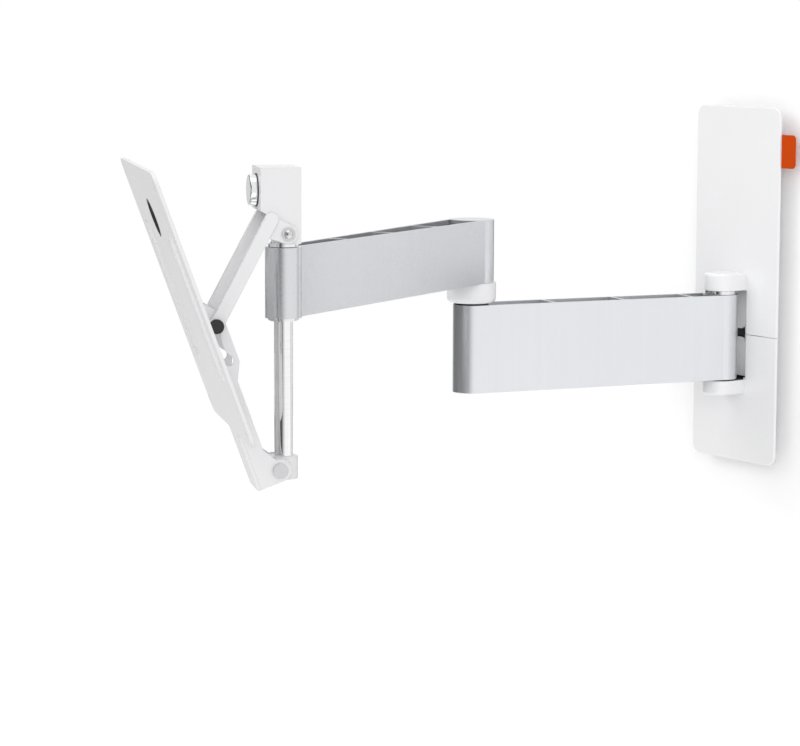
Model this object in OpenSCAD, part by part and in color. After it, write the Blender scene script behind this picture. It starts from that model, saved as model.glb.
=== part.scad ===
// Swivelling television wall mount: wall cover with hinge, two arms, shaft, tilting screen bracket.
// Units are millimetres. The wall is the plane Y = 0, the room is at -Y and Z is up.

/* [Wall cover] */
// width of the cover panel
cover_w = 116; // [110:1:160]
// height of the cover panel
cover_h = 332; // [290:1:420]
// distance from the wall to the front of the cover panel
cover_d = 16; // [15:0.5:24]
// thickness of the cover panel
panel_t = 2.4; // [2:0.1:4]
// corner radius of the cover panel
cover_r = 10; // [5:1:18]
// inset of the standing skirt behind the cover panel
skirt_inset = 23; // [20:1:24]
// length of the pull tab outside the cover panel
tab_len = 17.6; // [8:0.1:24]
// width of the gap between the two covers
seam_gap = 0.5; // [0.2:0.1:1.5]
// half width of the hinge hoods
hood_r = 15.5; // [14.5:0.5:18]
// height of the hood above the rear arm
hood_h = 16.4; // [14:0.2:24]

/* [Wall plate] */
// thickness of the steel wall plate
plate_t = 3; // [2:0.5:4]
// sideways distance between the wall screws
wall_pitch_x = 44; // [36:1:46]
// upright distance between the wall screws
wall_pitch_z = 250; // [190:1:252]
// radius of the holes for the wall screws
wall_hole_r = 3.5; // [2.5:0.1:4.5]
// radius of the wall hinge pin
hinge_pin_r = 5; // [4:0.5:6]

/* [Rear arm] */
// distance between the hinge axes of the rear arm
rear_len = 256; // [200:1:320]
// height of the rear arm
rear_h = 79; // [60:1:100]
// height of the top of the rear arm from the middle of the cover
rear_top = -8.3; // [-20:0.1:4]
// overall thickness of the rear arm between its hubs
rear_w = 31.5; // [24:0.5:32.5]
// radius of both hubs of the rear arm
rear_hub_r = 16.5; // [15:0.5:20]
// wall thickness of both arms
arm_t = 2.4; // [2:0.1:4]
// thickness of the cross ribs of both arms
rib_t = 3; // [2:0.5:4]
// distance between the ribs of the rear arm
rear_rib_pitch = 70.5; // [50:0.5:90]
// angle of the rear arm in the rest pose
rear_yaw = -11.1; // [-60:0.1:60]

/* [Front arm] */
// distance between the hinge axes of the front arm
front_len = 340; // [280:1:420]
// height of the front arm
front_h = 56.4; // [46:0.2:76]
// radius of the elbow hub of the front arm
elbow_hub_r = 20; // [19:0.5:24]
// radius of the front hub of the front arm
front_hub_r = 14.6; // [13.5:0.1:18]
// overall thickness of the front arm at the elbow
elbow_w = 36.2; // [30:0.2:38]
// overall thickness of the front arm at the front hub
front_w = 17; // [16:0.5:22]
// distance between the ribs of the front arm
front_rib_pitch = 77.3; // [60:0.1:100]
// angle of the front arm in the rest pose
front_yaw = 28.1; // [-80:0.1:80]
// radius of the collar under the elbow hub
collar_r = 22.1; // [20.5:0.1:26]
// radius of the elbow pin
elbow_pin_r = 6; // [5:0.5:8]

/* [Swivel shaft and head] */
// outer radius of the swivel shaft
shaft_r = 7.5; // [6.5:0.1:8.5]
// inner radius of the swivel shaft
shaft_bore_r = 5; // [3.5:0.1:5.5]
// radius of the rings above and below the front hub
ring_r = 12.4; // [11:0.1:14]
// width of the head block
head_w = 44; // [40:1:50]
// height of the head block
head_h = 60; // [54:1:70]
// sheet thickness of the head block
head_t = 3; // [2.5:0.5:4]
// radius of the round stud on the head block
stud_r = 12.4; // [10:0.1:13]
// distance the stud stands out of the head block
stud_d = 6.5; // [4:0.1:7.5]
// angle of the head in the rest pose
swivel_yaw = -23; // [-60:0.1:60]

/* [Tilt linkage and bracket] */
// tilt of the bracket in the rest pose
tilt = 20; // [5:0.5:20]
// turn of the link for each degree of tilt
link_ratio = 1.5; // [1.4:0.05:1.55]
// distance from the link pivot to the sliding rod
link_len = 91.6; // [88:0.1:96]
// angle of the link at the full tilt
link_angle = 38.9; // [36:0.1:40]
// width of a link bar
link_w = 10.6; // [8:0.1:12]
// radius of the sliding rod
rod_r = 4; // [3:0.5:4.5]
// side of the square screen plate
vesa_w = 224; // [216:1:240]
// thickness of the screen plate
vesa_t = 2.8; // [2:0.2:4]
// large hole spacing of the screen plate
vesa_pitch = 200; // [200:1:200]
// small hole spacing of the screen plate
vesa_small = 100; // [100:1:100]

/* [Hidden] */
$fn = 64;
eps = 0.01;
run = 0.05;
gap = 0.3;
seam_z = rear_top - rear_h / 2 + 1.8;
cover_edge_r = panel_t / 2;
front_y = -cover_d;
hinge_y = -cover_d - rear_hub_r - 1.5;
rear_bot = rear_top - rear_h;
opening_w = 2 * hood_r + 1;
opening_top = rear_top + 3.0;
opening_bot = rear_bot + 0.4;
hood_bot = rear_top + 3.7;
hood_top = hood_bot + hood_h;
low_top = rear_bot - 1.4;
low_bot = low_top - hood_h + 2.6;
skirt_x = max(cover_w / 2 - skirt_inset, wall_pitch_x / 2 + wall_hole_r + 5);
skirt_z = max(cover_h / 2 - skirt_inset, wall_pitch_z / 2 + wall_hole_r + 8);
plate_hx = skirt_x - 2;
plate_hz = skirt_z - 2;
lug_r = hood_r - 2.6;
base_t = 4;
base_hx = 18;
base_over = 14;
screw_over = 8;
screw_head = 3;
recess_t = 1.8;
recess_back = -plate_t - base_t - 0.4;
wall_bush_r = hinge_pin_r + 3;
elbow_bush_r = elbow_pin_r + 2;
elbow_head_r = elbow_pin_r + 5;
elbow_head_t = 4;
elbow_bush_z = rear_bot + elbow_head_t + 1;
shaft_bush_r = shaft_r + 3;
elbow_x = -rear_len * sin(-rear_yaw);
elbow_y = hinge_y - rear_len * cos(rear_yaw);
collar_h = 18.3;
collar_bot = rear_top + 1.8;
front_bot = collar_bot + collar_h;
front_top = front_bot + front_h;
hub_x = elbow_x + front_len * sin(front_yaw);
hub_y = elbow_y - front_len * cos(front_yaw);
ring_h = 1.8;
head_bot = front_top + ring_h + 1.9;
head_top = head_bot + head_h;
head_back = -10.7;
head_front = 21.5;
pivot_z = head_bot + 8;
pivot_r = 3;
stud_z = head_top - 18.5;
foot_z = pivot_z - 188;
foot_f = 6;
foot_pin_r = 3.5;
foot_r = shaft_r + 4;
shaft_bot = foot_z + 5;
shaft_top = head_top - head_t - 4;
path_f = [for (i = [0:20]) rod_path(i / 20)[0]];
path_z = [for (i = [0:20]) rod_path(i / 20)[1]];
cap_r = rod_r + 1.8;
link_end_r = link_w / 2 + 0.6;
plate_f = max(head_front + 4, max(path_f) + max(cap_r, link_end_r) + 0.9);
rail_back = min(path_f) - rod_r - gap - 3.7;
vesa_z = foot_z + 153.2;
rail_in = head_w / 2 - 4;
rail_t = 3;
link_in = head_w / 2 + 0.4;
ear_t = 2.9;
bar_t = 5.6;
catch_r = stud_r + 1;

// frames
module at_rear() {
  translate([0, hinge_y, 0])
    rotate([0, 0, rear_yaw])
      children();
}

module at_front() {
  translate([elbow_x, elbow_y, 0])
    rotate([0, 0, front_yaw])
      children();
}

module at_head() {
  translate([hub_x, hub_y, 0])
    rotate([0, 0, swivel_yaw])
      children();
}

module at_tilt() {
  at_head()
    translate([0, -foot_f, foot_z])
      rotate([tilt, 0, 0])
        translate([0, foot_f, -foot_z])
          children();
}

// x is the side to side direction, f the distance to the front, z the height
module side_profile(x0, x1, pts) {
  translate([x0, 0, 0])
    rotate([90, 0, 90])
      linear_extrude(x1 - x0)
        polygon([for (p = pts) [-p[0], p[1]]]);
}

module cross_pin(r, x0, x1, f, z) {
  translate([x0, -f, z])
    rotate([0, 90, 0])
      cylinder(r = r, h = x1 - x0);
}

module tube(ro, ri, z0, z1) {
  translate([0, 0, z0])
    difference() {
      cylinder(r = ro, h = z1 - z0);
      translate([0, 0, -1])
        cylinder(r = ri, h = z1 - z0 + 2);
    }
}

// wall body
module flat_round(w, h, r, y0, y1) {
  translate([0, y1, 0])
    rotate([90, 0, 0])
      linear_extrude(y1 - y0)
        union() {
          square([w - 2 * r, h], center = true);
          square([w, h - 2 * r], center = true);
          for (sx = [-1, 1])
            for (sz = [-1, 1])
              translate([sx * (w / 2 - r), sz * (h / 2 - r)])
                circle(r = r);
        }
}

// section of a rim with one rounded corner
module rim(r, t, e) {
  union() {
    square([r - e, t]);
    square([r, t - e]);
    translate([r - e, t - e])
      circle(r = e);
  }
}

module soft_panel(w, h, r, e) {
  // front panel with a rounded front edge
  translate([0, front_y + panel_t, 0])
    rotate([90, 0, 0]) {
      translate([-w / 2 + r, -h / 2 + r, 0])
        cube([w - 2 * r, h - 2 * r, panel_t]);
      for (a = [0, 180])
        rotate([0, 0, a]) {
          translate([w / 2 - r, h / 2 - r, 0])
            rotate([90, 0, 0])
              linear_extrude(h - 2 * r)
                rim(r, panel_t, e);
          translate([w / 2 - r, h / 2 - r, 0])
            rotate([90, 0, 90])
              translate([0, 0, -w + 2 * r])
                linear_extrude(w - 2 * r)
                  rim(r, panel_t, e);
          translate([w / 2 - r, h / 2 - r, 0])
            rotate_extrude(angle = 90)
              rim(r, panel_t, e);
          translate([-w / 2 + r, h / 2 - r, 0])
            rotate([0, 0, 90])
              rotate_extrude(angle = 90)
                rim(r, panel_t, e);
        }
    }
}

module wall_plate() {
  color([0.75, 0.76, 0.78])
    difference() {
      translate([-plate_hx, -plate_t, -plate_hz])
        cube([2 * plate_hx, plate_t, 2 * plate_hz]);
      for (sx = [-1, 1])
        for (sz = [-1, 1])
          translate([sx * wall_pitch_x / 2, 1, sz * wall_pitch_z / 2])
            rotate([90, 0, 0])
              cylinder(r = wall_hole_r, h = plate_t + 2);
    }
}

module lug(z0, z1) {
  translate([0, hinge_y, z0])
    cylinder(r = lug_r, h = z1 - z0);
  translate([-lug_r, hinge_y, z0])
    cube([2 * lug_r, -hinge_y - plate_t - 2, z1 - z0]);
}

module screw_spots() {
  for (sx = [-1, 1])
    for (z = [hood_top + screw_over, low_bot - screw_over])
      translate([sx * 11, 0, z])
        rotate([90, 0, 0])
          children();
}

module hinge_bracket() {
  color([0.16, 0.16, 0.17])
    difference() {
      union() {
        translate([-base_hx, -plate_t - base_t, low_bot - base_over])
          cube([2 * base_hx, base_t, hood_top - low_bot + 2 * base_over]);
        lug(hood_bot + 0.4, hood_top - 3);
        lug(low_bot + 3, low_top - 0.4);
      }
      translate([0, hinge_y, low_bot])
        cylinder(r = hinge_pin_r, h = hood_top - low_bot);
      screw_spots()
        translate([0, 0, plate_t - 1])
          cylinder(r = 3, h = base_t + 3);
    }
}

module hinge_screws() {
  color([0.7, 0.7, 0.72])
    screw_spots() {
      translate([0, 0, plate_t])
        cylinder(r = 3, h = base_t + eps);
      translate([0, 0, plate_t + base_t])
        difference() {
          cylinder(r = 5, h = screw_head);
          translate([0, 0, 1.2])
            cylinder(r = 2.3, h = 3, $fn = 6);
        }
    }
}

module hinge_pin() {
  color([0.72, 0.73, 0.75])
    translate([0, hinge_y, low_bot + 3.6])
      cylinder(r = hinge_pin_r, h = hood_top - low_bot - 7.2);
}

module upper_hinge_ring() {
  color([0.85, 0.86, 0.88])
    translate([0, hinge_y, 0]) {
      tube(hood_r - 0.3, hinge_pin_r + run, rear_top + gap, hood_bot - 0.1);
      tube(lug_r - 1, hinge_pin_r + run, hood_bot - 0.2, hood_bot + 0.4);
    }
}

module lower_thrust_washer() {
  color([0.07, 0.07, 0.07])
    translate([0, hinge_y, 0]) {
      tube(hood_r - 0.7, hinge_pin_r + run, low_top + 0.1, rear_bot - gap);
      tube(lug_r - 1, hinge_pin_r + run, low_top - 0.4, low_top + 0.2);
    }
}

module hood_solid(z0, z1, r, y1) {
  translate([0, hinge_y, z0])
    cylinder(r = r, h = z1 - z0);
  translate([-r, hinge_y, z0])
    cube([2 * r, y1 - hinge_y, z1 - z0]);
}

// hood with a rounded closed end above its open end
module soft_hood(h, e) {
  rotate([0, 0, 180])
    rotate_extrude(angle = 180)
      rim(hood_r, h, e);
  translate([0, front_y + 1 - hinge_y, 0])
    rotate([90, 0, 0])
      linear_extrude(front_y + 1 - hinge_y)
        union() {
          rim(hood_r, h, e);
          mirror([1, 0])
            rim(hood_r, h, e);
        }
}

module skirt() {
  difference() {
    translate([-skirt_x, front_y + panel_t, -skirt_z])
      cube([2 * skirt_x, cover_d - panel_t, 2 * skirt_z]);
    translate([-skirt_x + 2, front_y, -skirt_z + 2])
      cube([2 * skirt_x - 4, cover_d + 1, 2 * skirt_z - 4]);
  }
}

module recess_box() {
  translate([-opening_w / 2 - 2, front_y + eps, opening_bot - 1])
    cube([opening_w + 4, recess_back - front_y, opening_top - opening_bot + 2]);
}

module seam_slot() {
  // slot in the floor of the opening, flared between the rounded corners of the two covers
  slot_h = 4;
  flare_r = 6;
  flare_x = 1.2;
  translate([0, recess_back + 1, seam_z])
    rotate([90, 0, 0])
      linear_extrude(recess_t + 2)
        difference() {
          translate([-opening_w / 2, -slot_h - flare_r])
            square([opening_w / 2 + flare_x + flare_r, 2 * (slot_h + flare_r)]);
          for (s = [0, 1])
            mirror([0, s]) {
              translate([-opening_w, slot_h])
                square([opening_w + flare_x, 2 * flare_r]);
              translate([flare_x, slot_h + flare_r])
                circle(r = flare_r);
            }
        }
}

module seam_cusp() {
  // small cusp in the front face, where the seam leaves the opening
  cusp_r = 2;
  translate([opening_w / 2, recess_back + 1, seam_z])
    rotate([90, 0, 0])
      linear_extrude(recess_back - front_y + 4)
        difference() {
          translate([-cusp_r, -cusp_r - seam_gap / 2])
            square([2 * cusp_r, 2 * cusp_r + seam_gap]);
          for (s = [-1, 1])
            translate([cusp_r, s * (cusp_r + seam_gap / 2)])
              circle(r = cusp_r);
        }
}

module cover_all() {
  difference() {
    union() {
      soft_panel(cover_w, cover_h, cover_r, cover_edge_r);
      skirt();
      recess_box();
      translate([0, hinge_y, hood_bot])
        soft_hood(hood_top - hood_bot, 3);
      translate([0, hinge_y, low_top])
        mirror([0, 0, 1])
          soft_hood(low_top - low_bot, 3);
    }
    // opening behind the rear arm
    translate([-opening_w / 2, front_y - 20, opening_bot])
      cube([opening_w, recess_back - recess_t - front_y + 20, opening_top - opening_bot]);
    seam_slot();
    seam_cusp();
    // inside of the hoods, open to the wall plate
    hood_solid(hood_bot - 1.5, hood_top - 2.4, hood_r - 2, -plate_t + 1);
    hood_solid(low_bot + 2.4, low_top + 2.3, hood_r - 2, -plate_t + 1);
    // room for the hinge bracket and the heads of its screws
    translate([-base_hx - gap, recess_back, low_bot - base_over - 2])
      cube([2 * (base_hx + gap), cover_d, hood_top - low_bot + 2 * base_over + 4]);
    for (z = [hood_top, low_bot - 2 * screw_over])
      translate([-base_hx - gap, recess_back - screw_head - 0.6, z])
        cube([2 * (base_hx + gap), cover_d, 2 * screw_over]);
  }
}

module upper_cover() {
  color([0.95, 0.95, 0.96])
    intersection() {
      cover_all();
      translate([-cover_w, -80, seam_z + seam_gap / 2])
        cube([2 * cover_w, 100, cover_h]);
    }
}

module lower_cover() {
  color([0.95, 0.95, 0.96])
    intersection() {
      cover_all();
      translate([-cover_w, -80, seam_z - seam_gap / 2 - cover_h])
        cube([2 * cover_w, 100, cover_h]);
    }
}

module pull_tab() {
  x0 = skirt_x + 1;
  x1 = cover_w / 2 + tab_len;
  z0 = cover_h / 2 - 55;
  color([0.83, 0.32, 0.06])
    translate([0, front_y + panel_t + 1.4, 0])
      rotate([90, 0, 0])
        linear_extrude(1.4)
          union() {
            translate([x0, z0])
              square([x1 - x0 - 4, 30.5]);
            translate([x0, z0 + 4])
              square([x1 - x0, 22.5]);
            for (z = [z0 + 4, z0 + 26.5])
              translate([x1 - 4, z])
                circle(r = 4);
          }
}

// rear arm body
module rear_arm() {
  w = rear_w / 2;
  color([0.86, 0.87, 0.89])
    at_rear()
      difference() {
        union() {
          for (y = [0, -rear_len])
            translate([0, y, rear_bot])
              cylinder(r = rear_hub_r, h = rear_h);
          for (sx = [-1, 1])
            translate([sx * (w - arm_t / 2) - arm_t / 2, -rear_len, rear_bot])
              cube([arm_t, rear_len, rear_h]);
          for (i = [0, 1, 2])
            translate([-w + 1, -(37.6 + i * rear_rib_pitch) - rib_t / 2, rear_bot])
              cube([rear_w - 2, rib_t, rear_h]);
        }
        translate([0, 0, rear_bot - 1])
          cylinder(r = wall_bush_r, h = rear_h + 2);
        translate([0, -rear_len, rear_bot - 1])
          cylinder(r = elbow_bush_r, h = rear_h + 2);
        translate([0, -rear_len, rear_bot - 1])
          cylinder(r = elbow_head_r + 0.5, h = elbow_bush_z - rear_bot + 1);
      }
}

module wall_bushes() {
  color([0.12, 0.12, 0.12])
    at_rear() {
      tube(wall_bush_r, hinge_pin_r + run, rear_top - 20, rear_top);
      tube(wall_bush_r, hinge_pin_r + run, rear_bot, rear_bot + 20);
    }
}

module elbow_bushes() {
  color([0.12, 0.12, 0.12])
    at_rear()
      translate([0, -rear_len, 0]) {
        tube(elbow_bush_r, elbow_pin_r + run, rear_top - 20, rear_top);
        tube(elbow_bush_r, elbow_pin_r + run, elbow_bush_z, elbow_bush_z + 20);
      }
}

module elbow_washer() {
  color([0.07, 0.07, 0.07])
    at_rear()
      translate([0, -rear_len, 0])
        tube(rear_hub_r - 0.8, elbow_pin_r + 0.4, rear_top, collar_bot - gap);
}

// front arm body
module elbow_pin() {
  color([0.72, 0.73, 0.75])
    at_front() {
      translate([0, 0, rear_bot + 1])
        cylinder(r = elbow_pin_r, h = front_top - 12 - rear_bot - 1);
      translate([0, 0, rear_bot + 0.6])
        cylinder(r = elbow_head_r, h = elbow_head_t);
    }
}

module elbow_collar() {
  e = 4.5;
  color([0.94, 0.94, 0.94])
    at_front()
      difference() {
        union() {
          translate([0, 0, collar_bot + e])
            cylinder(r = collar_r, h = collar_h - e);
          translate([0, 0, collar_bot])
            cylinder(r = collar_r - e, h = e + eps);
          translate([0, 0, collar_bot + e])
            rotate_extrude()
              translate([collar_r - e, 0])
                intersection() {
                  circle(r = e);
                  translate([-collar_r + e, -e])
                    square([collar_r, 2 * e]);
                }
        }
        translate([0, 0, collar_bot - 1])
          cylinder(r = elbow_pin_r, h = collar_h + 2);
      }
}

module front_wall(sx) {
  w0 = elbow_w / 2;
  w1 = front_w / 2;
  translate([0, 0, front_bot])
    linear_extrude(front_h)
      polygon([[sx * w0, 0], [sx * w1, -front_len], [sx * (w1 - arm_t), -front_len],
        [sx * (w0 - arm_t), 0]]);
}

module front_arm() {
  color([0.82, 0.83, 0.85])
    at_front()
      difference() {
        union() {
          translate([0, 0, front_bot])
            cylinder(r = elbow_hub_r, h = front_h);
          translate([0, -front_len, front_bot])
            cylinder(r = front_hub_r, h = front_h);
          front_wall(1);
          front_wall(-1);
          for (i = [0, 1, 2]) {
            s = front_len - 90.6 - i * front_rib_pitch;
            w = elbow_w / 2 + (front_w - elbow_w) / 2 * s / front_len - 1;
            translate([-w, -s - rib_t / 2, front_bot])
              cube([2 * w, rib_t, front_h]);
          }
        }
        translate([0, 0, front_bot - 1])
          cylinder(r = elbow_pin_r, h = front_h - 11);
        translate([0, -front_len, front_bot - 1])
          cylinder(r = shaft_bush_r, h = front_h + 2);
      }
}

module shaft_bushes() {
  color([0.12, 0.12, 0.12])
    at_front()
      translate([0, -front_len, 0]) {
        tube(shaft_bush_r, shaft_r + run, front_bot, front_bot + 18);
        tube(shaft_bush_r, shaft_r + run, front_top - 18, front_top);
      }
}

module lower_ring() {
  color([0.85, 0.86, 0.88])
    at_front()
      translate([0, -front_len, 0]) {
        tube(ring_r, shaft_r + 0.4, front_bot - 1.5, front_bot);
        tube(ring_r - 1.2, shaft_r + 0.4, front_bot - 2.3, front_bot - 1.5);
      }
}

// head body
module upper_ring() {
  color([0.85, 0.86, 0.88])
    at_head() {
      tube(ring_r, shaft_r, front_top + gap, head_bot - 0.8);
      tube(ring_r - 1.6, shaft_r, head_bot - 0.8, head_bot);
    }
}

module swivel_shaft() {
  color([0.8, 0.8, 0.82])
    at_head()
      difference() {
        tube(shaft_r, shaft_bore_r, shaft_bot, shaft_top);
        cross_pin(pivot_r, -20, 20, 0, pivot_z);
      }
}

module head_block() {
  hw = head_w / 2;
  f0 = head_back;
  f1 = head_front;
  z1 = stud_z - stud_r - 2.8;
  prof = [[f0, head_bot], [3.5, head_bot], [15, head_bot + 6.5], [15, z1 - 3.8],
    [f1, z1], [f1, head_top], [f0, head_top]];
  color([0.93, 0.93, 0.94])
    at_head()
      difference() {
        union() {
          difference() {
            side_profile(-hw, hw, prof);
            side_profile(-hw + head_t, hw - head_t, [[f0 + head_t, head_bot - 1],
              [f1 - head_t, head_bot - 1], [f1 - head_t, head_top - head_t],
              [f0 + head_t, head_top - head_t]]);
          }
          translate([0, 0, head_bot])
            cylinder(r = shaft_r + 2.4, h = head_h - 1);
          translate([-hw + 1, -3.6, head_bot])
            cube([head_w - 2, 7.2, 14]);
        }
        translate([0, 0, head_bot - 1])
          cylinder(r = shaft_r, h = shaft_top - head_bot + 1);
        cross_pin(pivot_r, -hw - 1, hw + 1, 0, pivot_z);
        translate([0, -f1 + head_t + 1, stud_z])
          rotate([90, 0, 0])
            cylinder(r = 4, h = head_t + 2);
      }
}

module round_stud() {
  color([0.86, 0.87, 0.88])
    at_head()
      translate([0, -head_front, stud_z])
        rotate([90, 0, 0]) {
          translate([0, 0, -head_t - 1])
            cylinder(r = 4, h = head_t + 2);
          translate([0, 0, 0.8])
            cylinder(r = stud_r, h = stud_d - 2);
          translate([0, 0, stud_d - 1.2])
            cylinder(r = stud_r - 1.2, h = 1.2);
          translate([0, 0, stud_d - 1.2])
            rotate_extrude()
              translate([stud_r - 1.2, 0])
                intersection() {
                  circle(r = 1.2);
                  translate([-stud_r + 1.2, -1.2])
                    square([stud_r, 2.4]);
                }
        }
}

module stud_seat() {
  color([0.1, 0.1, 0.1])
    at_head()
      translate([0, -head_front, stud_z])
        rotate([90, 0, 0])
          tube(stud_r + 0.8, 4, 0, 0.8);
}

module pivot_pin() {
  x = link_in + ear_t + 1.3;
  color([0.78, 0.78, 0.8])
    at_head() {
      cross_pin(pivot_r, -x - 0.5, x + 0.5, 0, pivot_z);
      for (sx = [-1, 1])
        translate([sx * x, 0, pivot_z])
          rotate([0, sx * 90, 0])
            intersection() {
              translate([0, 0, -2.1])
                sphere(r = 4.2);
              cylinder(r = 3.8, h = 4);
            }
    }
}

module pivot_washers() {
  x = link_in + ear_t + 0.3;
  color([0.7, 0.7, 0.72])
    at_head()
      for (sx = [-1, 1])
        translate([sx * x, 0, pivot_z])
          rotate([0, sx * 90, 0])
            tube(5.3, pivot_r, 0, 1);
}

module foot_block() {
  color([0.93, 0.93, 0.94])
    at_head()
      difference() {
        union() {
          translate([0, 0, foot_z - 9])
            cylinder(r = foot_r, h = 18);
          translate([-rail_in + 0.4, -foot_f - 8, foot_z - 8])
            cube([2 * rail_in - 0.8, 16, 16]);
        }
        translate([0, 0, shaft_bot])
          cylinder(r = shaft_r, h = 20);
        cross_pin(foot_pin_r + run, -rail_in - 1, rail_in + 1, foot_f, foot_z);
      }
}

// link body
function link_at(len, off) = [len * sin(link_angle) + off * cos(link_angle),
  -len * cos(link_angle) + off * sin(link_angle)];

module link_arm(sx) {
  rf = link_len * sin(link_angle);
  rz = pivot_z - link_len * cos(link_angle);
  tf = 13.4;
  tz = pivot_z + 12;
  a = atan2(rf - tf, tz - rz);
  n = [cos(a) * link_w / 2, sin(a) * link_w / 2];
  x0 = sx > 0 ? link_in : -link_in - bar_t;
  x1 = sx > 0 ? link_in : -link_in - ear_t;
  difference() {
    union() {
      side_profile(x0, x0 + bar_t, [[rf + n[0], rz + n[1]], [tf + n[0], tz + n[1]],
        [tf - n[0], tz - n[1]], [rf - n[0], rz - n[1]]]);
      cross_pin(link_w / 2, x0, x0 + bar_t, tf, tz);
      cross_pin(link_end_r, x0, x0 + bar_t, rf, rz);
      side_profile(x1, x1 + ear_t, [[-3, pivot_z + 7], [tf - 2, tz + 2.5],
        [tf + 6, tz - 14], [3, pivot_z - 7]]);
      cross_pin(7.6, x1, x1 + ear_t, 0, pivot_z);
    }
    cross_pin(pivot_r + run, x0 - 1, x0 + bar_t + 1, 0, pivot_z);
    cross_pin(rod_r, x0 - 1, x0 + bar_t + 1, rf, rz);
  }
}

module link_arms() {
  color([0.93, 0.93, 0.94])
    at_head() {
      link_arm(1);
      link_arm(-1);
    }
}

module link_rod() {
  color([0.75, 0.75, 0.77])
    at_head()
      cross_pin(rod_r, -link_in - bar_t - 1, link_in + bar_t + 1, link_len * sin(link_angle),
        pivot_z - link_len * cos(link_angle));
}

module rod_caps() {
  color([0.12, 0.12, 0.12])
    at_head()
      translate([0, -link_len * sin(link_angle), pivot_z - link_len * cos(link_angle)])
        for (sx = [-1, 1])
          translate([sx * (link_in + bar_t), 0, 0])
            rotate([0, sx * 90, 0])
              difference() {
                cylinder(r = cap_r, h = 2.6);
                translate([0, 0, -1])
                  cylinder(r = rod_r, h = 2);
              }
}

// bracket body, drawn upright and then tilted about the foot pin
// path of the sliding rod in the upright bracket, from the full tilt at u = 0 to upright at u = 1
function rod_world(u) = [link_len * sin(link_angle - link_ratio * tilt * u),
  pivot_z - link_len * cos(link_angle - link_ratio * tilt * u)];
function turn_back(p, a) = [foot_f + (p[0] - foot_f) * cos(a) - (p[1] - foot_z) * sin(a),
  foot_z + (p[0] - foot_f) * sin(a) + (p[1] - foot_z) * cos(a)];
function rod_path(u) = turn_back(rod_world(u), tilt * (1 - u));
function path_dir(u) = let (a = rod_path(u - 0.01), b = rod_path(u + 0.01), l = norm(b - a))
  [(b[0] - a[0]) / l, (b[1] - a[1]) / l];
function path_side(u, d) = let (p = rod_path(u), t = path_dir(u))
  [p[0] - t[1] * d, p[1] + t[0] * d];

module cam_slot(r, x0, x1) {
  n = 16;
  u0 = -0.01;
  us = [for (i = [0:n]) u0 + i * (1 - 2 * u0) / n];
  side_profile(x0, x1, concat([for (u = us) path_side(u, r)],
    [for (i = [n:-1:0]) path_side(us[i], -r)]));
  for (u = [u0, 1 - u0])
    cross_pin(r, x0, x1, rod_path(u)[0], rod_path(u)[1]);
}

module tilt_rails() {
  z0 = foot_z - 9;
  z1 = max(path_z) + 18;
  z2 = min(path_z) - 3.7;
  color([0.93, 0.93, 0.94])
    at_tilt()
      difference() {
        for (x0 = [rail_in, -rail_in - rail_t])
          union() {
            side_profile(x0, x0 + rail_t, [[foot_f, z0], [plate_f, z0], [plate_f, z1],
              [rail_back + 10, z1], [rail_back, z1 - 12], [rail_back, z2], [foot_f + 7, z2 - 14],
              [foot_f + 7, foot_z + 20], [foot_f, foot_z + 9]]);
            cross_pin(9, x0, x0 + rail_t, foot_f, foot_z);
          }
        cam_slot(rod_r + gap, -40, 40);
        cross_pin(foot_pin_r, -40, 40, foot_f, foot_z);
      }
}

module foot_pin() {
  x = rail_in + rail_t;
  color([0.75, 0.75, 0.77])
    at_tilt() {
      cross_pin(foot_pin_r, -x - 0.5, x + 0.5, foot_f, foot_z);
      cross_pin(6, x, x + 2.2, foot_f, foot_z);
      cross_pin(6, -x - 2.2, -x, foot_f, foot_z);
    }
}

module screen_plate() {
  x = rail_in + rail_t;
  color([0.9, 0.9, 0.91])
    at_tilt()
      translate([0, -plate_f, 0])
        rotate([90, 0, 0])
          linear_extrude(vesa_t)
            difference() {
              union() {
                translate([0, vesa_z]) {
                  square([vesa_w - 20, vesa_w], center = true);
                  square([vesa_w, vesa_w - 20], center = true);
                  for (sx = [-1, 1])
                    for (sz = [-1, 1])
                      translate([sx * (vesa_w / 2 - 10), sz * (vesa_w / 2 - 10)])
                        circle(r = 10);
                }
                translate([-x, foot_z - 9])
                  square([2 * x, vesa_z - vesa_w / 2 - foot_z + 18.8]);
              }
              for (p = [vesa_pitch, vesa_small])
                for (sx = [-1, 1])
                  for (sz = [-1, 1])
                    translate([sx * p / 2, vesa_z + sz * p / 2])
                      circle(r = 3.2);
              translate([0, stud_z])
                circle(r = catch_r + 2.6);
              for (sx = [-1, 1])
                translate([sx * 74, vesa_z])
                  square([26, 120], center = true);
            }
}

module catch_ring() {
  color([0.12, 0.12, 0.12])
    at_tilt()
      translate([0, -plate_f, stud_z])
        rotate([90, 0, 0]) {
          tube(catch_r + 4.6, catch_r, -2.2, 0);
          tube(catch_r + 2.6, catch_r, -0.1, vesa_t);
        }
}

wall_plate();
hinge_bracket();
hinge_screws();
hinge_pin();
upper_hinge_ring();
lower_thrust_washer();
upper_cover();
lower_cover();
pull_tab();
rear_arm();
wall_bushes();
elbow_bushes();
elbow_washer();
elbow_pin();
elbow_collar();
front_arm();
shaft_bushes();
upper_ring();
lower_ring();
swivel_shaft();
head_block();
round_stud();
stud_seat();
pivot_pin();
pivot_washers();
foot_block();
link_arms();
link_rod();
rod_caps();
tilt_rails();
foot_pin();
screen_plate();
catch_ring();
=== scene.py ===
"""Swivelling television wall mount: materials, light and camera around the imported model.

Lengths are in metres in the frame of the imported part: the wall is the plane Y = 0, the room
lies towards -Y, and Z is up.
"""

import math

import bpy
from mathutils import Matrix, Vector

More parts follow.
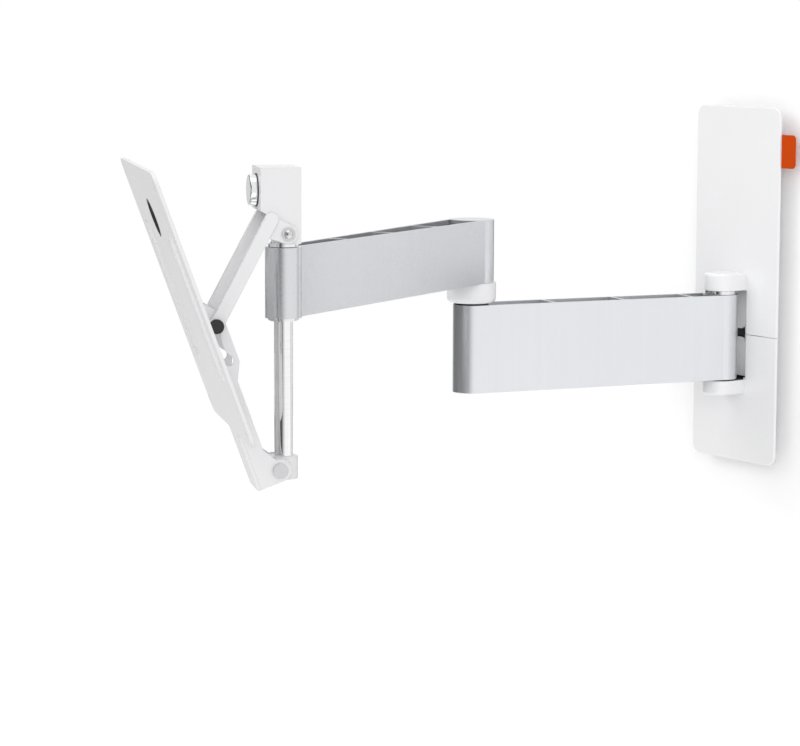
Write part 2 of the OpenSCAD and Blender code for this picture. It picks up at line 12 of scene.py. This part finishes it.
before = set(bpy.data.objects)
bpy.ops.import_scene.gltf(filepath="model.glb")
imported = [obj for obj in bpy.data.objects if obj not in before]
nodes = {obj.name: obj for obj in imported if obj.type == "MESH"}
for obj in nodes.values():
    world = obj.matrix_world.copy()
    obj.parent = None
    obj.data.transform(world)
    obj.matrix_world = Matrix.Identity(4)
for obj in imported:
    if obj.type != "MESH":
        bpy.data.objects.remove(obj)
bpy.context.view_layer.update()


# node helpers
BEVEL_SAMPLES = 4


class Tree:
    """Short calls to build a node tree from nothing."""

    def __init__(self, node_tree):
        self.nt = node_tree
        self.nt.nodes.clear()

    def add(self, kind, **props):
        node = self.nt.nodes.new(kind)
        for key, value in props.items():
            setattr(node, key, value)
        return node

    def link(self, output, socket):
        self.nt.links.new(output, socket)

    def coords(self, scale=(1, 1, 1)):
        """Object coordinates; a small scale draws a pattern out along that axis."""
        spot = self.add("ShaderNodeTexCoord")
        mapping = self.add("ShaderNodeMapping")
        mapping.inputs["Scale"].default_value = scale
        self.link(spot.outputs["Object"], mapping.inputs["Vector"])
        return mapping.outputs[0]

    def noise(self, vector, scale, detail=2, rough=0.5):
        node = self.add("ShaderNodeTexNoise")
        node.inputs["Scale"].default_value = scale
        node.inputs["Detail"].default_value = detail
        node.inputs["Roughness"].default_value = rough
        self.link(vector, node.inputs["Vector"])
        return node.outputs["Fac"]

    def ramp(self, factor, low, high, low_colour, high_colour):
        """One colour up to low, the other from high on, and a blend between them."""
        node = self.add("ShaderNodeValToRGB")
        first, last = node.color_ramp.elements
        first.position, last.position = low, high
        first.color = (*low_colour, 1)
        last.color = (*high_colour, 1)
        self.link(factor, node.inputs[0])
        return node.outputs[0]

    def span(self, factor, to_low, to_high, low=0.3, high=0.7):
        """The range from low to high stretched to the range from to_low to to_high."""
        node = self.add("ShaderNodeMapRange")
        node.inputs["From Min"].default_value = low
        node.inputs["From Max"].default_value = high
        node.inputs["To Min"].default_value = to_low
        node.inputs["To Max"].default_value = to_high
        self.link(factor, node.inputs["Value"])
        return node.outputs[0]

    def mix(self, first, second, share):
        """Two colours mixed, with the second's share from 0 to 1."""
        node = self.add("ShaderNodeMix", data_type="RGBA", blend_type="MIX")
        # the node has sockets for each kind of value: 6, 7 and output 2 are those for colours
        node.inputs[0].default_value = share
        self.link(first, node.inputs[6])
        self.link(second, node.inputs[7])
        return node.outputs[2]

    def soft_edges(self, radius):
        """A normal that rounds sharp edges by a radius."""
        node = self.add("ShaderNodeBevel", samples=BEVEL_SAMPLES)
        node.inputs["Radius"].default_value = radius
        return node.outputs[0]

    def bump(self, height, strength, distance, normal=None):
        node = self.add("ShaderNodeBump")
        node.inputs["Strength"].default_value = strength
        node.inputs["Distance"].default_value = distance
        self.link(height, node.inputs["Height"])
        if normal is not None:
            self.link(normal, node.inputs["Normal"])
        return node.outputs[0]

    def calc(self, operation, first, second):
        """A Math node on two values, each a number or an output."""
        node = self.add("ShaderNodeMath", operation=operation)
        for socket, value in zip(node.inputs, (first, second)):
            if isinstance(value, (int, float)):
                socket.default_value = value
            else:
                self.link(value, socket)
        return node.outputs[0]


class Material(Tree):
    """The tree of a new material, with nothing but its output node."""

    def __init__(self, name):
        self.mat = bpy.data.materials.new(name)
        self.mat.use_nodes = True
        super().__init__(self.mat.node_tree)
        self.out = self.add("ShaderNodeOutputMaterial")

    def show_over_clear(self, shader, share):
        """The shader where share is 1, and nothing to be seen where it is 0."""
        clear = self.add("ShaderNodeBsdfTransparent")
        mix = self.add("ShaderNodeMixShader")
        self.link(share, mix.inputs[0])
        self.link(clear.outputs[0], mix.inputs[1])
        self.link(shader, mix.inputs[2])
        self.link(mix.outputs[0], self.out.inputs[0])


class Finish(Material):
    """A material of the part: one Principled shader, set socket by socket."""

    def __init__(self, name):
        super().__init__(name)
        self.bsdf = self.add("ShaderNodeBsdfPrincipled")
        self.link(self.bsdf.outputs[0], self.out.inputs[0])

    def put(self, socket, value):
        """A number or another node's output into a socket of the shader."""
        if isinstance(value, (int, float)):
            self.bsdf.inputs[socket].default_value = value
        else:
            self.link(value, self.bsdf.inputs[socket])


# finishes of the part
COAT_ROUGHNESS = 0.08
# how far the grain takes the roughness down and up
PLASTIC_SMOOTHER, PLASTIC_ROUGHER = 0.04, 0.05
ALUMINIUM_SMOOTHER, ALUMINIUM_ROUGHER = 0.03, 0.05
# the anodised film takes a little of the metal's mirror away
ANODISED_METALLIC = 0.88


def shade(colour, factor):
    """The colour made darker or lighter by a factor, no brighter than white."""
    return tuple(min(1, channel * factor) for channel in colour)


def plastic(name, colour, dark, rough, grain, depth, edge=0.0006, coat=0.0, spec=0.5):
    """Moulded plastic or powder coat: a slow colour drift, fine grain and rounded edges.

    grain is the noise scale of the grain and depth its strength as a bump. edge is the
    radius of the rounded edges.
    """
    look = Finish(name)
    spot = look.coords()
    drift = look.noise(spot, scale=9, detail=3)
    tinted = look.ramp(drift, low=0.35, high=0.65, low_colour=dark, high_colour=colour)
    look.put("Base Color", tinted)
    fine = look.noise(spot, grain)
    look.put("Roughness", look.span(fine, rough - PLASTIC_SMOOTHER, rough + PLASTIC_ROUGHER))
    look.put("Specular IOR Level", spec)
    if coat:
        look.put("Coat Weight", coat)
        look.put("Coat Roughness", COAT_ROUGHNESS)
    rounded = look.soft_edges(edge)
    look.put("Normal", look.bump(fine, depth, distance=0.0003, normal=rounded))
    return look.mat


def drawn_aluminium(name, colour, dark, rough):
    """Satin anodised extrusion: upright die lines and a fine blasted grain."""
    look = Finish(name)
    lines = look.noise(look.coords((1, 1, 0.012)), scale=420, detail=3, rough=0.6)
    grain = look.noise(look.coords(), scale=2600)
    drift = look.noise(look.coords((1, 1, 0.25)), scale=14)
    base = look.ramp(drift, low=0.3, high=0.7, low_colour=dark, high_colour=colour)
    streak = look.ramp(lines, low=0.2, high=0.8,
                       low_colour=shade(colour, 0.955), high_colour=shade(colour, 1.02))
    look.put("Base Color", look.mix(base, streak, share=0.5))
    look.put("Metallic", ANODISED_METALLIC)
    look.put("Roughness", look.span(grain, rough - ALUMINIUM_SMOOTHER, rough + ALUMINIUM_ROUGHER))
    rounded = look.soft_edges(radius=0.0005)
    lined = look.bump(lines, strength=0.12, distance=0.0002, normal=rounded)
    look.put("Normal", look.bump(grain, strength=0.10, distance=0.0001, normal=lined))
    return look.mat


def bright_metal(name, colour, rough, scale, depth, stretch=(1, 1, 1), edge=0.0003):
    """Turned or polished metal with fine marks and smears.

    scale is the noise scale of the marks and depth their strength as a bump. They are drawn
    out along the axes where stretch is small. With an edge of 0 the edges stay sharp.
    """
    look = Finish(name)
    marks = look.noise(look.coords(stretch), scale, detail=3, rough=0.6)
    smear = look.noise(look.coords(), scale=60)
    look.put("Base Color", look.ramp(marks, low=0.25, high=0.75,
                                     low_colour=shade(colour, 0.93), high_colour=colour))
    look.put("Metallic", 1.0)
    look.put("Roughness", look.span(smear, to_low=rough * 0.8, to_high=rough * 1.25))
    rounded = look.soft_edges(edge) if edge else None
    look.put("Normal", look.bump(marks, depth, distance=0.0002, normal=rounded))
    return look.mat


def zinc(name):
    """Zinc plated sheet with a faint flake pattern."""
    look = Finish(name)
    spot = look.coords()
    cells = look.add("ShaderNodeTexVoronoi")
    cells.inputs["Scale"].default_value = 130
    look.link(spot, cells.inputs["Vector"])
    flake = look.add("ShaderNodeSeparateColor")
    look.link(cells.outputs["Color"], flake.inputs[0])
    tint, gloss = flake.outputs[0], flake.outputs[1]
    look.put("Base Color", look.ramp(tint, low=0.0, high=1.0, low_colour=(0.50, 0.51, 0.52),
                                     high_colour=(0.62, 0.63, 0.65)))
    look.put("Metallic", 1.0)
    look.put("Roughness", look.span(gloss, to_low=0.32, to_high=0.48, low=0, high=1))
    grain = look.noise(spot, scale=700)
    rounded = look.soft_edges(radius=0.0004)
    look.put("Normal", look.bump(grain, strength=0.08, distance=0.0002, normal=rounded))
    return look.mat


looks = {
    "steel_plate": zinc("zinc_sheet"),
    "black_cast": plastic(
        "black_powder_coat", (0.020, 0.020, 0.021), dark=(0.014, 0.014, 0.015),
        rough=0.55, grain=900, depth=0.35, edge=0.0008),
    "bright_steel": bright_metal(
        "turned_steel", (0.66, 0.66, 0.67), rough=0.22, scale=500, depth=0.10),
    "chrome": bright_metal(
        "chrome_plate", (0.86, 0.87, 0.88), rough=0.10, scale=120, depth=0.01),
    "shaft": bright_metal(
        "polished_shaft", (0.95, 0.94, 0.94), rough=0.07, scale=900, depth=0.012,
        stretch=(0.02, 0.02, 1), edge=0),
    "black_nylon": plastic(
        "black_nylon", (0.017, 0.017, 0.018), dark=(0.012, 0.012, 0.013),
        rough=0.42, grain=1500, depth=0.15, edge=0.0003),
    "cover_white": plastic(
        "cover_plastic", (0.86, 0.86, 0.868), dark=(0.845, 0.846, 0.855),
        rough=0.24, grain=1800, depth=0.05, edge=0.0008, coat=0.15),
    "orange_rubber": plastic(
        "orange_tab", (0.565, 0.060, 0.002), dark=(0.52, 0.054, 0.002),
        rough=0.60, grain=1600, depth=0.25, edge=0.0003, spec=0.05),
    "rear_aluminium": drawn_aluminium(
        "rear_anodised", (0.77, 0.785, 0.81), dark=(0.745, 0.76, 0.785), rough=0.32),
    # the front arm's colour is darker than the rear arm's: partly its own tone, partly painted
    # shade standing in for the darker reflection it takes from the studio
    "front_aluminium": drawn_aluminium(
        "front_anodised_painted_shade", (0.69, 0.702, 0.722), dark=(0.665, 0.677, 0.697), rough=0.27),
    "collar_white": plastic(
        "collar_plastic", (0.82, 0.82, 0.83), dark=(0.80, 0.80, 0.812),
        rough=0.27, grain=1800, depth=0.05, coat=0.1),
    "white_coat": plastic(
        "white_powder_coat", (0.775, 0.775, 0.785), dark=(0.755, 0.755, 0.765),
        rough=0.36, grain=850, depth=0.22),
}
look_of_node = {
    # wall body
    "wall_plate": "steel_plate", "hinge_bracket": "black_cast", "hinge_screws": "bright_steel",
    "hinge_pin": "bright_steel", "upper_hinge_ring": "chrome",
    "lower_thrust_washer": "black_nylon", "upper_cover": "cover_white",
    "lower_cover": "cover_white", "pull_tab": "orange_rubber",
    # arms
    "rear_arm": "rear_aluminium", "wall_bushes": "black_nylon", "elbow_bushes": "black_nylon",
    "elbow_washer": "black_nylon", "elbow_pin": "bright_steel", "elbow_collar": "collar_white",
    "front_arm": "front_aluminium", "shaft_bushes": "black_nylon", "lower_ring": "chrome",
    # head and link
    "upper_ring": "chrome", "swivel_shaft": "shaft", "head_block": "white_coat",
    "round_stud": "chrome", "stud_seat": "black_nylon", "pivot_pin": "bright_steel",
    "pivot_washers": "bright_steel", "foot_block": "white_coat", "link_arms": "white_coat",
    "link_rod": "bright_steel", "rod_caps": "black_nylon",
    # bracket
    "tilt_rails": "white_coat", "foot_pin": "bright_steel", "screen_plate": "white_coat",
    "catch_ring": "black_nylon",
}
for name, obj in nodes.items():
    mat = looks[look_of_node[name]]
    if not obj.material_slots:
        obj.data.materials.append(mat)
    for slot in obj.material_slots:
        slot.material = mat


# floor and wall
FLOOR_Z = -1.1
FLOOR_HALF = 6.0
FLOOR_COLOUR = (0.86, 0.86, 0.86)
FLOOR_GLOW = 0.34
WALL_Y = 0.001
WALL_LEFT, WALL_RIGHT = -0.17, 0.27
WALL_HALF_HEIGHT = 0.34
WALL_COLOUR = (0.90, 0.90, 0.905)
WALL_GLOW = 0.07
WALL_FADE = 0.25
# the middle of a sheet in Generated coordinates, which run from 0 to 1
MIDDLE = 0.5


def sheet(name, verts, faces):
    """A mesh of the stage, which is not a part of the object."""
    mesh = bpy.data.meshes.new(name)
    mesh.from_pydata(verts, [], faces)
    obj = bpy.data.objects.new(name, mesh)
    bpy.context.collection.objects.link(obj)
    return obj


def rectangle(left, low, right, high):
    """Four corners, anticlockwise from the lower left one."""
    return [(left, low), (right, low), (right, high), (left, high)]


def seen_by_eye(tree):
    """1 for camera, glossy and transmission rays, 0 for the rays that only carry light."""
    path = tree.add("ShaderNodeLightPath")
    seen = tree.calc("MAXIMUM", path.outputs["Is Camera Ray"], path.outputs["Is Glossy Ray"])
    return tree.calc("MAXIMUM", seen, path.outputs["Is Transmission Ray"])


def pale_ground(name, colour, glow, fade=0.0):
    """A diffuse sheet that looks white to the eye, keeps shadows and is clear from behind.

    With fade, it also goes clear over that share of its width and height at each edge.
    """
    ground = Material(name)
    diffuse = ground.add("ShaderNodeBsdfDiffuse")
    diffuse.inputs["Color"].default_value = (*colour, 1)
    light = ground.add("ShaderNodeEmission")
    ground.link(ground.calc("MULTIPLY", seen_by_eye(ground), glow), light.inputs["Strength"])
    lit = ground.add("ShaderNodeAddShader")
    ground.link(diffuse.outputs[0], lit.inputs[0])
    ground.link(light.outputs[0], lit.inputs[1])
    geometry = ground.add("ShaderNodeNewGeometry")
    shown = ground.calc("SUBTRACT", 1.0, geometry.outputs["Backfacing"])
    if fade:
        spot = ground.add("ShaderNodeTexCoord")
        axes = ground.add("ShaderNodeSeparateXYZ")
        ground.link(spot.outputs["Generated"], axes.inputs[0])
        for axis in ("X", "Z"):
            edge = ground.add("ShaderNodeMapRange", interpolation_type="SMOOTHSTEP")
            edge.inputs["From Max"].default_value = fade
            # runs from 0 at one edge to the middle and back to 0 at the other edge
            to_edge = ground.calc("PINGPONG", axes.outputs[axis], MIDDLE)
            ground.link(to_edge, edge.inputs["Value"])
            shown = ground.calc("MULTIPLY", shown, edge.outputs[0])
    ground.show_over_clear(lit.outputs[0], shown)
    return ground.mat


floor_corners = rectangle(-FLOOR_HALF, -FLOOR_HALF, FLOOR_HALF, FLOOR_HALF)
floor = sheet("floor", [(x, y, FLOOR_Z) for x, y in floor_corners], [(0, 1, 2, 3)])
floor.data.materials.append(pale_ground("floor_pale", FLOOR_COLOUR, FLOOR_GLOW))

# the stretch of wall that takes the soft shadow, open behind the wall plate
plate = nodes["wall_plate"]
plate_corners = [plate.matrix_world @ Vector(corner) for corner in plate.bound_box]
plate_x = [corner.x for corner in plate_corners]
plate_z = [corner.z for corner in plate_corners]
outer = rectangle(WALL_LEFT, -WALL_HALF_HEIGHT, WALL_RIGHT, WALL_HALF_HEIGHT)
inner = rectangle(min(plate_x), min(plate_z), max(plate_x), max(plate_z))
wall = sheet("wall_backdrop", [(x, WALL_Y, z) for x, z in outer + inner],
             [(i, (i + 1) % 4, 4 + (i + 1) % 4, 4 + i) for i in range(4)])
wall.data.materials.append(pale_ground("wall_pale", WALL_COLOUR, WALL_GLOW, WALL_FADE))


# world: white to the eye, softer as a light
WORLD_LIGHT = 0.82
WHITE = 1.0


def studio_world():
    world = bpy.data.worlds.new("studio")
    bpy.context.scene.world = world
    world.use_nodes = True
    tree = Tree(world.node_tree)
    out = tree.add("ShaderNodeOutputWorld")
    sky = tree.add("ShaderNodeBackground")
    sky.inputs["Color"].default_value = (WHITE, WHITE, WHITE, 1)
    level = tree.add("ShaderNodeMapRange")
    level.inputs["To Min"].default_value = WORLD_LIGHT
    level.inputs["To Max"].default_value = WHITE
    tree.link(seen_by_eye(tree), level.inputs["Value"])
    tree.link(level.outputs[0], sky.inputs["Strength"])
    tree.link(sky.outputs[0], out.inputs[0])


studio_world()


# lamps
LAMP_AIM = Vector((0.0, -0.3, 0.0))


def softbox(name, place, size, watts, glossy=True):
    """A rectangular area lamp, aimed near the elbow of the arms."""
    data = bpy.data.lights.new(name, "AREA")
    data.shape = "RECTANGLE"
    data.size, data.size_y = size
    data.energy = watts
    obj = bpy.data.objects.new(name, data)
    obj.location = place
    ahead = LAMP_AIM - Vector(place)
    obj.rotation_euler = ahead.to_track_quat("-Z", "Y").to_euler()
    obj.visible_glossy = glossy
    bpy.context.collection.objects.link(obj)


softbox("key", (-1.3, -2.6, 1.6), size=(1.6, 1.6), watts=17, glossy=False)
softbox("fill", (2.6, -2.2, 0.9), size=(1.6, 1.8), watts=25, glossy=False)
softbox("top", (0.2, -0.9, 2.4), size=(1.8, 1.8), watts=8)


# boards that the metal mirrors
BOARD_RADIUS = 3.0
BOARD_LOW = -1.9
BOARD_STEPS = 36
# direction from the object to the camera, seen from above and counted from +X
CAMERA_SIDE = math.radians(-34.5)


def smooth(share):
    """A share from 0 to 1 that starts and ends without a kink."""
    return share * share * (3 - 2 * share)


def gloss_board(name, start, end, fade, value, high=1.9):
    """An upright board of one grey value, bent round the studio and seen only in gloss.

    start and end are degrees round from the direction to the camera, counted to the right
    as the camera sees it. The board fades out over the degrees that fade gives for its start
    and for its end. high is the height of its upper edge.
    """
    verts, cover = [], []
    for step in range(BOARD_STEPS + 1):
        angle = start + (end - start) * step / BOARD_STEPS
        x = BOARD_RADIUS * math.cos(CAMERA_SIDE + math.radians(angle))
        y = BOARD_RADIUS * math.sin(CAMERA_SIDE + math.radians(angle))
        share = min((angle - start) / fade[0], (end - angle) / fade[1], 1.0)
        for z in (BOARD_LOW, high):
            verts.append((x, y, z))
            cover.append(smooth(share))
    faces = [(2 * i, 2 * i + 2, 2 * i + 3, 2 * i + 1) for i in range(BOARD_STEPS)]
    obj = sheet(name, verts, faces)
    obj.data.attributes.new("cover", "FLOAT", "POINT").data.foreach_set("value", cover)
    board = Material(name)
    grey = board.add("ShaderNodeEmission")
    grey.inputs["Color"].default_value = (value, value, value, 1)
    covered = board.add("ShaderNodeAttribute", attribute_name="cover")
    board.show_over_clear(grey.outputs[0], covered.outputs["Fac"])
    obj.data.materials.append(board.mat)
    for ray in ("camera", "shadow", "diffuse", "transmission"):
        setattr(obj, "visible_" + ray, False)


gloss_board("dark_board", start=-162, end=12, fade=(36, 42), value=0.06)
gloss_board("grey_board", start=84, end=196, fade=(26, 16), value=0.30, high=0.15)


# camera, fitted to the photo
CAMERA_PLACE = Vector((2.06440, -1.81417, 0.26178))
CAMERA_TARGET = Vector((-0.23485, -0.23512, -0.09405))
CAMERA_ROLL = math.radians(0.21)
LENS_MM = 131.31
SENSOR_MM = 36
CLIP_END = 50

cam_data = bpy.data.cameras.new("camera")
cam_data.lens = LENS_MM
cam_data.sensor_width = SENSOR_MM
cam_data.clip_end = CLIP_END
cam = bpy.data.objects.new("camera", cam_data)
bpy.context.collection.objects.link(cam)
bpy.context.scene.camera = cam
back = (CAMERA_PLACE - CAMERA_TARGET).normalized()
level_right = Vector((0, 0, 1)).cross(back).normalized()
level_up = back.cross(level_right)
right = level_right * math.cos(CAMERA_ROLL) + level_up * math.sin(CAMERA_ROLL)
up = level_up * math.cos(CAMERA_ROLL) - level_right * math.sin(CAMERA_ROLL)
view = Matrix((right, up, back)).transposed().to_4x4()
view.translation = CAMERA_PLACE
cam.matrix_world = view

bpy.context.scene.view_settings.view_transform = "Standard"

bpy.context.view_layer.update()
